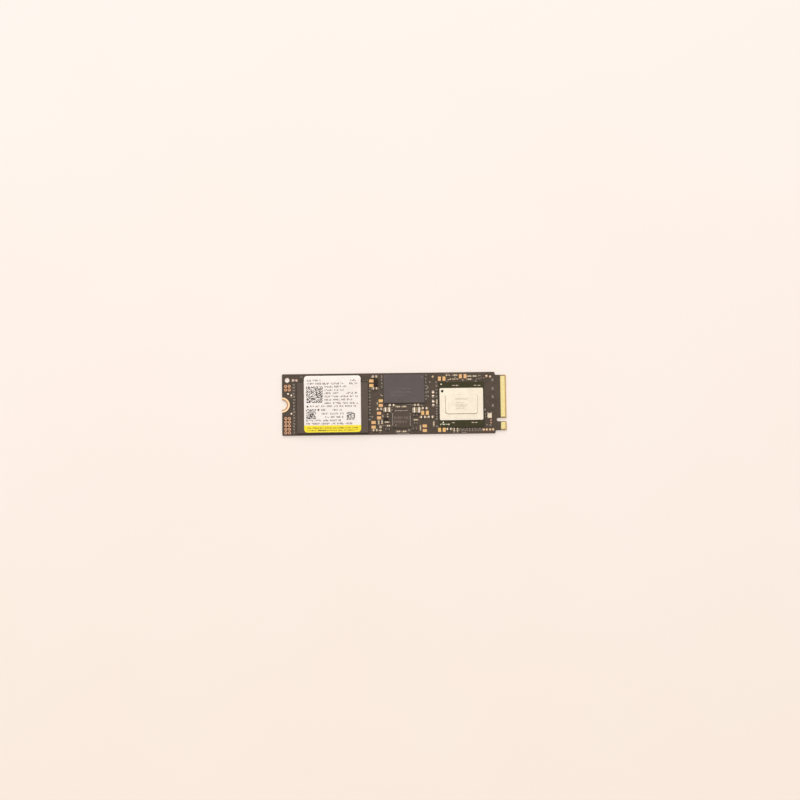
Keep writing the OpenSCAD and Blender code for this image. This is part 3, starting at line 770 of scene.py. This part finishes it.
def print_board():
    rng = random.Random(7)
    legend = laid_on(BOARD_T, LEGEND_T)
    for x, y, y_to, step in LEGEND_COLUMNS:
        while y > y_to:
            legend_mark(legend, x + rng.uniform(*MARK_STRAY), y, rng)
            y -= step * rng.uniform(*STEP_DRIFT)
    for x, y in LEGEND_MARKS:
        legend_mark(legend, x, y, rng)
    for y in EDGE_MARK_YS:
        for side, level in product((-1, 1), (-1, 1)):
            legend.bar(EDGE_MARK_X + side * EDGE_BAR_OFF[0], y + level * EDGE_BAR_OFF[1], *EDGE_BAR_SIZE)
    for k in range(SLANT_COUNT):
        x, lean = SLANT_X + k * SLANT_STEP, rng.choice(SLANT_LEANS)
        legend.ribbon([(x - lean, SLANT_Y - SLANT_HALF), (x + lean, SLANT_Y + SLANT_HALF)], SLANT_STROKE)
    for line in LEGEND_LINES:
        legend.bar(*line)
    legend.piece("board_legend", LEGEND, "board_coating")
    line = greeked(CARRIER_TOP, CARRIER_ROWS, rng, *CARRIER_PRINT)
    line.piece("carrier_line", MARK, "carrier_laminate")


# Copper under the coating: traces, and vias that the coating fills

TRACE_W, BUNDLE_PITCH = 0.12, 0.24
VIA_R = 0.2
# Section of a via, as shares of its radius and of the relief's height
VIA_SECTION = [(0.96, 0.8), (0.6, 1), (0.35, 0.2)]
# Where the board narrows to its tongue, half its usable width before and after that, and the room that
# copper keeps to the screw notch, the edges and other vias
FULL_WIDTH_X, EDGE_HALF, TONGUE_HALF = 35.9, 10.85, 9.75
NOTCH_ROOM, END_ROOM, CONTACT_ROOM, VIA_ROOM = 2.7, 0.2, 0.1, 0.06


class Ground:
    """Room that is left on one face of the board, and the vias and paths that take it."""

    def __init__(self, names, paths=()):
        slot_x, slot_y, slot_half = KEY_SLOT
        self.boxes = [box for name in names for box in islands(name)]
        self.boxes.append((Vector((slot_x, slot_y - slot_half)), Vector((BOARD_HIGH.x, slot_y + slot_half))))
        self.holes = [(BOARD_LOW.x, 0, NOTCH_ROOM), (*TOOLING_HOLE, TOOLING_HOLE_R)]
        self.paths = list(paths)

    def free(self, x, y, room, own=None):
        """Whether a round spot meets no edge, hole, via or part but the one whose lowest corner is own."""
        half = EDGE_HALF if x < FULL_WIDTH_X - room else TONGUE_HALF
        return (BOARD_LOW.x + END_ROOM + room <= x < CONTACT_X - CONTACT_ROOM - room
                and abs(y) < half - room
                and all(math.hypot(x - a, y - b) > room + radius for a, b, radius in self.holes)
                and not any(low.x - room < x < high.x + room and low.y - room < y < high.y + room
                            and low != own for low, high in self.boxes))

    def crossed(self, x, y):
        """Whether a via here would lie on a bundle or on a trace."""
        for path, count in self.paths:
            half = (count - 1) / 2 * BUNDLE_PITCH + TRACE_W + VIA_R
            for (ax, ay), (bx, by) in zip(path, path[1:]):
                along = Vector((bx - ax, by - ay))
                share = min(1, max(0, Vector((x - ax, y - ay)).dot(along) / along.length_squared))
                if math.hypot(x - ax - along.x * share, y - ay - along.y * share) < half:
                    return True
        return False

    def fits(self, x, y, room=0):
        """Whether a via fits here with this room round it."""
        return self.free(x, y, VIA_R + room) and not self.crossed(x, y)

    def drill(self, build, x, y, up):
        """Tented via: a low round swelling with a dimple where the coating sank into its hole."""
        self.holes.append((x, y, VIA_R + VIA_ROOM))
        section = [(0, -SUNK), (VIA_R, -SUNK), *((VIA_R * r, RELIEF_T * z) for r, z in VIA_SECTION), (0, 0)]
        if up:
            build.lathe(x, y, [(radius, BOARD_T + z) for radius, z in section])
        else:
            build.lathe(x, y, [(radius, -z) for radius, z in reversed(section)])

    def lead_out(self, build, y, length, up):
        """Trace from a contact to a via of its own, where there is room."""
        end = (CONTACT_X - length, y)
        if self.fits(*end):
            build.ribbon([(CONTACT_X + CONTACT_ROOM, y), end], TRACE_W)
            self.drill(build, *end, up)


# Bundles of parallel traces on each face, as (path of the middle one, how many)
TOP_BUNDLES = [
    ([(16.4, 6.4), (14.4, 6.4), (13.2, 5.2), (10, 5.2)], 7),
    ([(-3, 4.15), (-5.2, 4.15), (-6.4, 2.95), (-10, 2.95)], 6),
    ([(16.4, -3.2), (14.6, -3.2), (13.9, -2.5), (12.6, -2.5)], 4),
    ([(-34, 10.35), (-9.6, 10.35), (-9, 9.75), (-8.6, 9.75)], 2),
]
LOW_BUNDLES = [
    ([(30.6, 4.2), (34.4, 4.2), (35.6, 5.4), (36.2, 5.4)], 6),
    ([(17, 5.5), (13.4, 5.5), (11.6, 3.7), (9.4, 3.7)], 9),
    ([(16.6, -1.6), (6, -1.6), (3.6, -4), (-9.8, -4), (-11.6, -2.2), (-14.6, -2.2)], 9),
    ([(-3, 7.2), (-6.2, 7.2), (-8, 5.4), (-9.6, 5.4)], 8),
    ([(16.8, -7.4), (8, -7.4), (6.4, -9), (-24, -9), (-25.4, -7.6), (-33, -7.6)], 5),
    ([(-20.4, 2.6), (-24.6, 2.6)], 8),
    ([(-34.2, 9.6), (14, 9.6), (15.2, 8.4), (17, 8.4)], 4),
]
# Traces that gather from two contacts of three towards the controller: the range of y where they start,
# the y that they gather round and how closely, where their bend and they end, and the room beside them
FAN_YS, FAN_MIDDLE, FAN_SHARE, FAN_BEND_X, FAN_END_X, FAN_ROOM = (-2.6, 8.9), 1.9, 0.55, 33, 31, 0.1
FIRST_CONTACT_Y, CONTACT_PITCH = 9.25, 0.5
# Lengths of the traces from the other contacts, on each face
TOP_LEADS, LOW_LEADS = (1.2, 0.75), (0.6, 1.05, 1.5)
# Traces from the header's inner column: where it starts, their bends, their end and their step
HEADER_X, HEADER_BEND, HEADER_END, HEADER_STEP = -38.2, (-36.4, -36), -34.3, 0.4
# Short traces beside the small parts
STUB_WAYS = [(math.cos(t), math.sin(t)) for t in (math.tau * k / 8 for k in range(8))]
STUB_LENGTHS, STUB_W, STUB_T = (0.55, 0.75, 0.95), 0.16, RELIEF_T * 0.7
# Room beside them, and the step in which it is looked for
STUB_ROOM, STUB_STEP = 0.08, 0.1
# Scattered vias: how far they stray, and on each face their columns and rows, pitch and chance
STRAY = (-0.3, 0.3)
TOP_SCATTER = (range(-26, 25), range(-7, 8)), 1.5, 0.7
LOW_SCATTER = (range(-24, 24), range(-6, 7)), 1.6, 0.4
# Fields of vias below the ball-mounted packages on the underside, with the pitch of each
VIA_FIELDS = {
    "controller_carrier": 1.0, "memory_package": 1.0, "left_flash_package": 1.2,
    "right_flash_package": 1.2,
}
FIELD_MARGIN = 1.4
# Room round a scattered via on the upper face, and round all others but those of contacts
SCATTER_ROOM, FIELD_ROOM = 0.12, 0.05


def bundles(build, paths):
    for path, count in paths:
        for k in range(count):
            build.ribbon(aside(path, (k - (count - 1) / 2) * BUNDLE_PITCH), TRACE_W)


def stubs(build, ground, names, rng):
    """Short traces from the ends of the small parts to vias beside them, lower than the bundles."""
    for low, high in (box for name in names for box in islands(name)):
        x, y = centre(low, high)
        for way_x, way_y in rng.sample(STUB_WAYS, len(STUB_WAYS)):
            half = (high.x - x) * abs(way_x) + (high.y - y) * abs(way_y)
            reach = half + rng.choice(STUB_LENGTHS)
            end = (x + way_x * reach, y + way_y * reach)
            steps = np.arange(half + STUB_STEP, reach, STUB_STEP)
            spots = [(x + way_x * step, y + way_y * step) for step in steps]
            if ground.fits(*end, FIELD_ROOM) and all(
                    ground.free(*spot, STUB_ROOM, low) and not ground.crossed(*spot) for spot in spots):
                build.ribbon([(x, y), end], STUB_W, BOARD_T + STUB_T)
                ground.drill(build, *end, True)
                ground.paths.append(([spots[0], end], 1))
                break


def upper_copper():
    rng = random.Random(23)
    build = laid_on(BOARD_T, RELIEF_T)
    ground = Ground([name for name in nodes if not name.endswith("_balls") and name not in (
        "circuit_board", "label", "label_band", "lower_contacts")], TOP_BUNDLES)
    bundles(build, TOP_BUNDLES)
    for low, high in sorted(islands("upper_contacts"), key=lambda box: -box[0].y):
        y = centre(low, high)[1]
        order = round((FIRST_CONTACT_Y - y) / CONTACT_PITCH)
        if order % 3 == 2 or not FAN_YS[0] < y < FAN_YS[1]:
            ground.lead_out(build, y, TOP_LEADS[order % 2], True)
            continue
        goal = FAN_MIDDLE + (y - FAN_MIDDLE) * FAN_SHARE
        bend = FAN_BEND_X + abs(goal - y)
        build.ribbon([(CONTACT_X + CONTACT_ROOM, y), (bend, y), (FAN_BEND_X, goal), (FAN_END_X, goal)],
                     TRACE_W)
        room = Vector((0, FAN_ROOM))
        for x, x_to, level in ((FAN_END_X, bend, goal), (bend, CONTACT_X, y)):
            ground.boxes.append((Vector((x, min(y, level))) - room, Vector((x_to, max(y, level))) + room))
    for low, high in islands("header_eyelets"):
        if low.x > HEADER_X:
            y = centre(low, high)[1]
            build.ribbon([(high.x, y), (HEADER_BEND[0], y), (HEADER_BEND[1], y + HEADER_STEP),
                          (HEADER_END, y + HEADER_STEP)], TRACE_W)
    ends = [name for name in nodes if name.endswith("_ends") and name != "controller_capacitor_ends"]
    stubs(build, ground, ends + ["spare_lands", "power_chip_leads", "test_pads"], rng)
    grid, pitch, chance = TOP_SCATTER
    for place in product(*grid):
        spot = [step * pitch + rng.uniform(*STRAY) for step in place]
        if rng.random() < chance and ground.fits(*spot, SCATTER_ROOM):
            ground.drill(build, *spot, True)
    build.piece("upper_copper", TRACE, "board_coating")


def lower_copper():
    rng = random.Random(29)
    build = Build(-RELIEF_T, SUNK)
    ground = Ground(["lower_contacts", "header_eyelets", "ground_ring"], LOW_BUNDLES)
    bundles(build, LOW_BUNDLES)
    for box in islands("lower_contacts"):
        ground.lead_out(build, centre(*box)[1], rng.choice(LOW_LEADS), False)
    spots = []
    for name, pitch in VIA_FIELDS.items():
        low, high = box_mm(name)
        spots += product(*(np.arange(low[k] + FIELD_MARGIN, high[k] - FIELD_MARGIN, pitch) for k in (0, 1)))
    grid, pitch, chance = LOW_SCATTER
    for place in product(*grid):
        if rng.random() < chance:
            spots.append([step * pitch + rng.uniform(*STRAY) for step in place])
    for spot in spots:
        if ground.fits(*spot, FIELD_ROOM):
            ground.drill(build, *spot, False)
    build.piece("lower_copper", TRACE, "board_coating")


MASK_GAP = 0.1
# Round each eyelet: its bare clearing, and a darker ring round the mouth of its hole
EYELET_HOLE_R, EYELET_RIM_R, EYELET_ROOM_R = 0.27, 0.34, 0.63


def mask_gaps():
    """Thin lines of bare laminate round the lands and pads, where the coating stops short of them."""
    gaps, clearings, rims = (laid_on(BOARD_T) for _ in range(3))
    for low, high in islands("spare_lands"):
        x, y = centre(low, high)
        width, height = high.x - low.x, high.y - low.y
        for side in (-1, 1):
            gaps.bar(x, y + side * (height + MASK_GAP) / 2, width + 2 * MASK_GAP, MASK_GAP)
            gaps.bar(x + side * (width + MASK_GAP) / 2, y, MASK_GAP, height)
    for low, high in islands("test_pads"):
        radius = (high.x - low.x) / 2
        gaps.hoop(*centre(low, high), radius, radius + MASK_GAP)
    for low, high in islands("header_eyelets"):
        clearings.hoop(*centre(low, high), (high.x - low.x) / 2, EYELET_ROOM_R)
        rims.hoop(*centre(low, high), EYELET_HOLE_R, EYELET_RIM_R)
    gaps.piece("mask_gaps", GAP, "board_coating")
    clearings.piece("eyelet_clearings", GAP, "board_coating")
    rims.piece("eyelet_rims", RIM, "land_gold")


# Rows of tall strokes on the power chip, as (first x, last x, y)
POWER_ROWS = [(0.1, 4.9, -5.1), (0.1, 4.7, -6.55)]
STROKE_W, STROKE_H, STROKE_PITCH = 0.2, 1.05, 0.52
# Dots that mark the first contact: distances from the edges of the part, and radius
MEMORY_DOT, POWER_DOT, LID_DOT = (0.9, 1.1, 0.4), (1, 0.92, 0.3), (0.95, 1.07, 0.5)


def mark_packages():
    """Faint laser rows on the moulded tops and the lid, and the dots that mark the first contact."""
    rng = random.Random(19)
    low, high = box_mm("memory_package")
    rows = greeked(high.z, MEMORY_ROWS, rng)
    rows.disc(high.x - MEMORY_DOT[0], high.y - MEMORY_DOT[1], MEMORY_DOT[2])
    rows.piece("memory_rows", LASER, "moulding")
    low, high = box_mm("power_chip")
    strokes = laid_on(high.z)
    for x, x_to, y in POWER_ROWS:
        while x < x_to:
            strokes.bar(x, y, STROKE_W * rng.uniform(0.6, 1.2), STROKE_H * rng.uniform(0.8, 1))
            x += STROKE_PITCH * rng.choice((0.7, 1, 1, 1.3))
    strokes.disc(low.x + POWER_DOT[0], low.y + POWER_DOT[1], POWER_DOT[2])
    strokes.piece("power_rows", POWER_LASER, "moulding")
    greeked(LID_HIGH.z, LID_ROWS, rng, *LID_PRINT).piece("lid_rows", LID_LASER, "lid_nickel")
    dot = laid_on(CARRIER_TOP + LID_RIM_H)
    dot.disc(LID_LOW.x + LID_DOT[0], LID_HIGH.y - LID_DOT[1], LID_DOT[2])
    dot.piece("lid_dot", DOT, "lid_nickel")


# Solder

# How far the solder at a metal end runs out, as a share of the end's width, and climbs, as a share of
# its height, each with its limit
FILLET_REACH, FILLET_MOST_REACH = 0.28, 0.16
FILLET_CLIMB, FILLET_MOST_CLIMB = 0.62, 0.3
# Steps of its hollow face, how far it sinks into the end, how thick its edge is, its width as a share of
# the end's, how much of that it loses towards its tip, and the room in front of it
FILLET_STEPS, FILLET_BITE, FILLET_LIP = 6, 0.05, 0.015
FILLET_WIDTH, FILLET_TAPER, FILLET_ROOM = 0.94, 0.15, 0.03
SMOOTH_ANGLE = 40
# Bead of solder: its radius as a share of the pad's, right and left of the card's middle, and
# its section, as (share of the radius, height)
BEAD_RIGHT, BEAD_LEFT = 0.84, 0.97
BEAD_SECTION = [(0, -SUNK), (1, -SUNK), (0.92, 0.03), (0.6, 0.07), (0, 0.085)]


def fillet(build, foot, way, width, reach, climb):
    """Hollow-faced ramp of solder that runs out from foot along way."""
    turns = [math.pi / 2 * k / FILLET_STEPS for k in range(FILLET_STEPS + 1)]
    section = [(-FILLET_BITE, climb), (-FILLET_BITE, 0), (reach, 0)]
    section += [(reach * (1 - math.sin(t)) ** 2, FILLET_LIP + climb * (1 - math.cos(t))) for t in turns]
    sides = []
    for side in (1, -1):
        halves = [side * width / 2 * (1 - FILLET_TAPER * (max(0, out) / reach) ** 3) for out, _ in section]
        sides.append([(foot[0] + way.x * out - way.y * half, foot[1] + way.y * out + way.x * half,
                       foot[2] + up) for (out, up), half in zip(section, halves)])
    build.loft(*sides)


def end_fillets():
    """Solder between the metal ends of the small parts and their lands, wherever there is room."""
    ground = Ground([name for name in nodes if name.endswith(("_ends", "_bodies", "_leads", "_package"))
                     and not name.startswith("controller")])
    for name in [name for name in nodes if name.endswith("_ends")]:
        stem = name.removesuffix("_ends")
        body = next(body for body in (stem + "_bodies", stem + "_base", stem) if body in nodes)
        ends, bodies = islands(name), [Vector(centre(*box)) for box in islands(body)]
        if len(ends) != 2 * len(bodies):
            continue
        build = Build()
        for low, high in ends:
            middle = Vector(centre(low, high))
            nearest = min(bodies, key=lambda body: (body - middle).length)
            way = (middle - nearest).normalized()
            along, across = abs(way.x), abs(way.y)
            skew = along ** 2 - across ** 2
            size = high - low
            length = (size.x * along - size.y * across) / skew
            width = (size.y * along - size.x * across) / skew
            reach = min(FILLET_MOST_REACH, FILLET_REACH * width)
            edge = middle + way * length / 2
            tip = edge + way * (reach + FILLET_ROOM)
            side = Vector((-way.y, way.x)) * width / 2
            if name.startswith("controller") or all(
                    ground.free(*(tip + side * share), 0, low) for share in (-1, 0, 1)):
                climb = min(FILLET_MOST_CLIMB, FILLET_CLIMB * size.z)
                fillet(build, (*edge, low.z), way, width * FILLET_WIDTH, reach, climb)
        made = build.piece(stem + "_fillets", FINISHES[name], "end_metal", smooth=True)
        made.data.set_sharp_from_angle(angle=math.radians(SMOOTH_ANGLE))


def tin_pads():
    """Low beads of solder on the test pads."""
    beads = Build()
    for low, high in islands("test_pads"):
        x, y = centre(low, high)
        radius = (high.x - low.x) / 2 * (BEAD_RIGHT if x > 0 else BEAD_LEFT)
        beads.lathe(x, y, [(radius * share, high.z + z) for share, z in BEAD_SECTION], 24)
    beads.piece("pad_solder", BEAD, "solder", smooth=True)


print_label()
print_board()
upper_copper()
lower_copper()
mask_gaps()
mark_packages()
end_fillets()
tin_pads()


# Camera, lamps and floor

# The photograph's side and focal length in its pixels, the camera's distance from the point that it is
# aimed at, and its tilt in degrees
PHOTO_SIDE, FOCAL_PX = 800, 1680.9
CAMERA_HEIGHT = 600
AIM = (2.075, 1.29, BOARD_T)
CAMERA_TILT = (5.13, -0.44, -0.739)
SENSOR = 36


def set_camera():
    data = bpy.data.cameras.new("camera")
    data.sensor_width = SENSOR
    data.lens = FOCAL_PX * SENSOR / PHOTO_SIDE
    data.clip_start, data.clip_end = 0.01, 20
    camera = show("camera", data)
    camera.rotation_euler = [math.radians(a) for a in CAMERA_TILT]
    back = camera.rotation_euler.to_matrix() @ Vector((0, 0, CAMERA_HEIGHT))
    camera.location = (Vector(AIM) + back) * MM
    bpy.context.scene.camera = camera


WORLD_COLOUR = (1.0, 0.91, 0.875, 1.0)
WORLD_STRENGTH = 0.5
# Strength low down, towards -Y and +Y, and the spans of height and of Y over which it changes
WORLD_FRONT, WORLD_BACK = 0.2, 0.8
WORLD_RISE, WORLD_DEPTH = (0.1, 0.8), (-0.9, 0.9)
BACKDROP = (254, 243, 234)


def set_world():
    """Pale surroundings, uneven low down. The camera sees the backdrop instead."""
    world = bpy.data.worlds.new("studio")
    bpy.context.scene.world = world
    world.use_nodes = True
    made = Nodes(world.node_tree)
    made.tree.nodes.clear()
    way = made.add("TexCoord").outputs["Generated"]
    front = made.span(made.part(way, "Y"), *WORLD_DEPTH, WORLD_FRONT, WORLD_BACK)
    strength = made.span(made.part(way, "Z"), *WORLD_RISE, front, WORLD_STRENGTH)
    clear, seen = made.seen()
    ambient = made.fill("Background", WORLD_COLOUR, strength)
    backdrop = made.fill("Background", linear(BACKDROP), made.math("MAXIMUM", clear, strength))
    shown = made.fill("MixShader", seen, ambient, backdrop)
    made.put(made.add("OutputWorld").inputs["Surface"], shown)


LAMP_COLOUR = (1.0, 0.985, 0.985)
# Lamps, as (name, place in metres, side in metres, watts)
LAMPS = [
    ("top_softbox", (-0.25, 0.75, 1.0), 1.1, 7.6),
    ("overhead_fill", (0.05, 0.1, 1.6), 1.6, 7.6),
]


def set_lamps():
    for name, place, side, watts in LAMPS:
        data = bpy.data.lights.new(name, "AREA")
        data.size = side
        data.energy = watts
        data.color = LAMP_COLOUR
        lamp = show(name, data)
        lamp.location = place
        lamp.rotation_euler = (-Vector(place)).to_track_quat("-Z", "Y").to_euler()


# The floor's side in metres, its tones towards -Y and +Y, and how many metres off it has them
FLOOR_SIDE = 6
FLOOR_NEAR, FLOOR_FAR = (252, 239, 227), (253, 245, 238)
FLOOR_DRIFT = 0.14
# Share of the floor that the camera sees at its own colour, over any shadow, and the distances over which
# it grows to the whole, so that the floor meets the backdrop evenly
FLOOR_GLOW, FLOOR_EVEN = 0.45, (300, 1500)


def set_floor():
    made = Finish("floor", roughness=0.9)
    off = made.math("ADD", made.axis("Y"), made.drift(60, 2.0, -0.03, 0.03))
    tone = made.mix(made.span(off, -FLOOR_DRIFT, FLOOR_DRIFT), linear(FLOOR_NEAR), linear(FLOOR_FAR))
    glow = made.math("MULTIPLY", made.seen()[1], made.span(made.reach(0, 0), *FLOOR_EVEN, FLOOR_GLOW, 1))
    for field in header_fields():
        glow = made.math("MULTIPLY", glow, made.math("SUBTRACT", 1, made.within(*field)))
    shown = made.fill("MixShader", glow, made.shader.outputs[0], made.fill("Emission", tone))
    made.put(made.tree.nodes["Material Output"].inputs["Surface"], shown)
    half = FLOOR_SIDE / 2
    corners = [(-half, -half, 0), (half, -half, 0), (half, half, 0), (-half, half, 0)]
    floor = show_mesh("floor", corners, [range(4)], made.dress(tone))


set_camera()
set_world()
set_lamps()
set_floor()
bpy.context.scene.view_settings.view_transform = "Standard"
